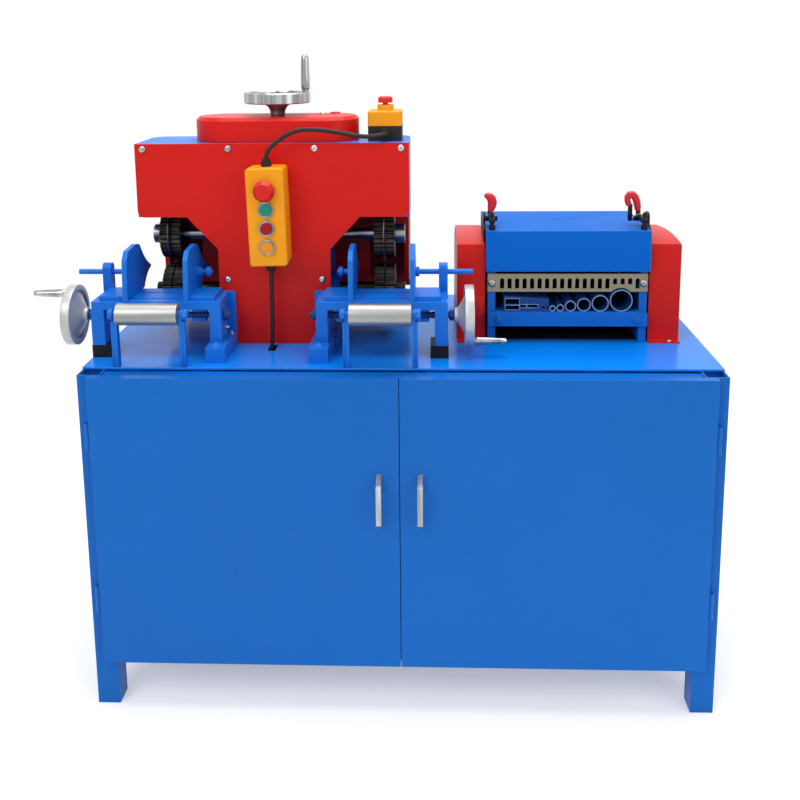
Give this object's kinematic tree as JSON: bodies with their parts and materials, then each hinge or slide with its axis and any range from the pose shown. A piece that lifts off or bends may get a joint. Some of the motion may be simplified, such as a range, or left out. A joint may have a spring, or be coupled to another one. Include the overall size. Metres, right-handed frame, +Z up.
{
  "type": "electric wire stripping machine",
  "caption": "Electric cable and wire stripper: cabinet with hinged doors, feed-wheel head with guide jaws and handwheels, and a small stripper with slotted guides.",
  "frame": {"origin": "middle of the machine's footprint, on the floor", "axes": "+X to the machine's right seen from the front, +Y from the doors to the back, +Z up"},
  "size_m": [1.2025, 0.5555, 1.154],
  "materials": {
    "cabinet_paint": "sprayed enamel",
    "table_paint": "sprayed enamel",
    "lid_paint": "sprayed enamel",
    "station_paint": "sprayed enamel on castings",
    "red_paint": "sprayed enamel",
    "tube_paint": "sprayed enamel, worn at the rims",
    "guide_khaki": "matt",
    "black_paint": "satin",
    "wheel_steel": "machined, oiled",
    "shaft_steel": "turned",
    "roller_steel": "turned",
    "chain_steel": "oiled",
    "bright_metal": "polished",
    "cast_aluminium": "polished rim",
    "station_yellow": "moulded",
    "black_plastic": "moulded",
    "red_plastic": "moulded",
    "green_plastic": "moulded",
    "yellow_plastic": "moulded",
    "grip_red": "dipped",
    "cable_rubber": "smooth"
  },
  "bodies": {
    "machine": {"cabinet_frame": "cabinet_paint", "table_plate": "table_paint", "drive_motor": "station_paint", "shaft_bearings": "station_paint", "drive_chains": "chain_steel", "head_column": "station_paint", "head_casing": "station_paint", "front_plate": "red_paint", "exit_hood": "red_paint", "top_cover": "red_paint", "left_station": "station_paint", "right_station": "station_paint", "foot_blocks": "black_paint", "control_box": "station_yellow", "control_bezels": "bright_metal", "top_estop_base": "black_plastic", "top_estop_lid": "station_yellow", "control_cable": "cable_rubber", "supply_cable": "cable_rubber", "cable_glands": "black_plastic", "stripper_frame": "cabinet_paint", "stripper_covers": "red_paint", "guide_plate": "guide_khaki", "tube_guides": "tube_paint", "stripper_lid": "lid_paint", "clamp_bases": "black_paint"},
    "left_door": {"left_door": "cabinet_paint", "left_door_handle": "bright_metal"},
    "right_door": {"right_door": "cabinet_paint", "right_door_handle": "bright_metal"},
    "lift_wheel": {"top_handwheel": "bright_metal"},
    "lift_crank": {"top_crank_handle": "bright_metal"},
    "carriage": {"bearing_carriage": "station_paint"},
    "cutter": {"cutter_shaft": "shaft_steel", "upper_feed_wheels": "wheel_steel"},
    "lower_feed": {"lower_feed_shaft": "wheel_steel"},
    "line_shaft": {"line_shaft": "shaft_steel"},
    "left_screw": {"left_handwheel": "cast_aluminium"},
    "left_crank": {"left_crank_handle": "bright_metal"},
    "left_outer_jaw": {"left_outer_jaw": "station_paint"},
    "left_inner_jaw": {"left_inner_jaw": "station_paint"},
    "left_roller": {"left_front_roller": "roller_steel"},
    "left_clamp_arm": {"left_clamp_arm": "black_paint"},
    "left_clamp_grip": {"left_clamp_handle": "grip_red"},
    "right_screw": {"right_handwheel": "cast_aluminium"},
    "right_crank": {"right_crank_handle": "bright_metal"},
    "right_outer_jaw": {"right_outer_jaw": "station_paint"},
    "right_inner_jaw": {"right_inner_jaw": "station_paint"},
    "right_roller": {"right_front_roller": "roller_steel"},
    "right_clamp_arm": {"right_clamp_arm": "black_paint"},
    "right_clamp_grip": {"right_clamp_handle": "grip_red"},
    "estop_button": {"estop_button": "red_plastic"},
    "green_button": {"green_button": "green_plastic"},
    "red_button": {"red_button": "red_plastic"},
    "yellow_button": {"yellow_button": "yellow_plastic"},
    "top_estop_button": {"top_estop_button": "red_plastic"},
    "top_roller": {"top_roller": "wheel_steel"},
    "blade_shaft": {"blade_shaft": "wheel_steel"},
    "bottom_roller": {"bottom_roller": "wheel_steel"}
  },
  "joints": [
    {"name": "left_door_hinge", "type": "hinge", "parent": "machine", "child": "left_door", "pos_m": [-0.4798, -0.246, 0.35], "axis": [0, 0, -1], "range_deg": [0, 110]},
    {"name": "right_door_hinge", "type": "hinge", "parent": "machine", "child": "right_door", "pos_m": [0.5898, -0.246, 0.35], "axis": [0, 0, 1], "range_deg": [0, 110]},
    {"name": "lift_turn", "type": "hinge", "parent": "machine", "child": "lift_wheel", "pos_m": [-0.1745, 0.0005, 1.05], "axis": [0, 0, 1], "range_deg": [-720, 1080]},
    {"name": "lift_crank_spin", "type": "hinge", "parent": "lift_wheel", "child": "lift_crank", "pos_m": [-0.1215, 0.0005, 1.1], "axis": [0, 0, 1], "continuous": true},
    {"name": "carriage_lift", "type": "slide", "parent": "machine", "child": "carriage", "axis": [0, 0, 1], "range_m": [-0.008, 0.012]},
    {"name": "cutter_spin", "type": "hinge", "parent": "carriage", "child": "cutter", "pos_m": [-0.1775, 0.0005, 0.82], "axis": [1, 0, 0], "continuous": true},
    {"name": "feed_drive", "type": "hinge", "parent": "machine", "child": "lower_feed", "pos_m": [-0.1775, 0.0005, 0.713], "axis": [1, 0, 0], "continuous": true},
    {"name": "line_shaft_spin", "type": "hinge", "parent": "machine", "child": "line_shaft", "pos_m": [-0.1775, 0.0005, 0.513], "axis": [1, 0, 0], "continuous": true},
    {"name": "bottom_roller_spin", "type": "hinge", "parent": "machine", "child": "bottom_roller", "pos_m": [0.355, 0.0525, 0.671], "axis": [1, 0, 0], "continuous": true},
    {"name": "top_roller_spin", "type": "hinge", "parent": "machine", "child": "top_roller", "pos_m": [0.355, 0.0525, 0.758], "axis": [1, 0, 0], "continuous": true},
    {"name": "blade_shaft_spin", "type": "hinge", "parent": "machine", "child": "blade_shaft", "pos_m": [0.355, 0.0525, 0.7185], "axis": [1, 0, 0], "continuous": true},
    {"name": "left_screw_turn", "type": "hinge", "parent": "machine", "child": "left_screw", "pos_m": [-0.5235, -0.1295, 0.697], "axis": [1, 0, 0], "range_deg": [-648, 2160]},
    {"name": "left_crank_spin", "type": "hinge", "parent": "left_screw", "child": "left_crank", "pos_m": [-0.5635, -0.1435, 0.74], "axis": [1, 0, 0], "continuous": true},
    {"name": "left_outer_jaw_slide", "type": "slide", "parent": "machine", "child": "left_outer_jaw", "axis": [1, 0, 0], "range_m": [-0.009, 0.03]},
    {"name": "left_inner_jaw_slide", "type": "slide", "parent": "machine", "child": "left_inner_jaw", "axis": [-1, 0, 0], "range_m": [-0.009, 0.03]},
    {"name": "left_roller_spin", "type": "hinge", "parent": "machine", "child": "left_roller", "pos_m": [-0.3775, -0.2005, 0.718], "axis": [1, 0, 0], "continuous": true},
    {"name": "left_clamp_open", "type": "hinge", "parent": "machine", "child": "left_clamp_arm", "pos_m": [0.221, -0.0155, 0.852], "axis": [-1, 0, 0], "range_deg": [0, 100]},
    {"name": "left_grip_swing", "type": "hinge", "parent": "machine", "child": "left_clamp_grip", "pos_m": [0.221, -0.0045, 0.846], "axis": [-1, 0, 0], "range_deg": [0, 65]},
    {"name": "right_screw_turn", "type": "hinge", "parent": "machine", "child": "right_screw", "pos_m": [0.1685, -0.1295, 0.697], "axis": [1, 0, 0], "range_deg": [-648, 2160]},
    {"name": "right_crank_spin", "type": "hinge", "parent": "right_screw", "child": "right_crank", "pos_m": [0.2085, -0.1435, 0.654], "axis": [1, 0, 0], "continuous": true},
    {"name": "right_outer_jaw_slide", "type": "slide", "parent": "machine", "child": "right_outer_jaw", "axis": [-1, 0, 0], "range_m": [-0.009, 0.03]},
    {"name": "right_inner_jaw_slide", "type": "slide", "parent": "machine", "child": "right_inner_jaw", "axis": [1, 0, 0], "range_m": [-0.009, 0.03]},
    {"name": "right_roller_spin", "type": "hinge", "parent": "machine", "child": "right_roller", "pos_m": [0.0225, -0.2005, 0.718], "axis": [1, 0, 0], "continuous": true},
    {"name": "right_clamp_open", "type": "hinge", "parent": "machine", "child": "right_clamp_arm", "pos_m": [0.497, -0.0155, 0.852], "axis": [-1, 0, 0], "range_deg": [0, 100]},
    {"name": "right_grip_swing", "type": "hinge", "parent": "machine", "child": "right_clamp_grip", "pos_m": [0.497, -0.0045, 0.846], "axis": [-1, 0, 0], "range_deg": [0, 65]},
    {"name": "estop_button_press", "type": "slide", "parent": "machine", "child": "estop_button", "axis": [0, 1, 0], "range_m": [0, 0.0035], "stiffness_N_per_m": 400, "springref_m": -0.002},
    {"name": "green_button_press", "type": "slide", "parent": "machine", "child": "green_button", "axis": [0, 1, 0], "range_m": [0, 0.0035], "stiffness_N_per_m": 400, "springref_m": -0.002},
    {"name": "red_button_press", "type": "slide", "parent": "machine", "child": "red_button", "axis": [0, 1, 0], "range_m": [0, 0.0035], "stiffness_N_per_m": 400, "springref_m": -0.002},
    {"name": "yellow_button_press", "type": "slide", "parent": "machine", "child": "yellow_button", "axis": [0, 1, 0], "range_m": [0, 0.0035], "stiffness_N_per_m": 400, "springref_m": -0.002},
    {"name": "top_estop_button_press", "type": "slide", "parent": "machine", "child": "top_estop_button", "axis": [0, 0, -1], "range_m": [0, 0.0035], "stiffness_N_per_m": 400, "springref_m": -0.002}
  ],
  "couplings": [
    {"joint": "carriage_lift", "follows": "lift_turn", "m_per_rad": 0.00063661},
    {"joint": "line_shaft_spin", "follows": "feed_drive", "ratio": 1},
    {"joint": "bottom_roller_spin", "follows": "feed_drive", "ratio": 1},
    {"joint": "top_roller_spin", "follows": "feed_drive", "ratio": -1},
    {"joint": "left_outer_jaw_slide", "follows": "left_screw_turn", "m_per_rad": 0.00079577},
    {"joint": "left_inner_jaw_slide", "follows": "left_screw_turn", "m_per_rad": 0.00079577},
    {"joint": "left_grip_swing", "follows": "left_clamp_open", "ratio": 0.65},
    {"joint": "right_outer_jaw_slide", "follows": "right_screw_turn", "m_per_rad": 0.00079577},
    {"joint": "right_inner_jaw_slide", "follows": "right_screw_turn", "m_per_rad": 0.00079577},
    {"joint": "right_grip_swing", "follows": "right_clamp_open", "ratio": 0.65}
  ]
}
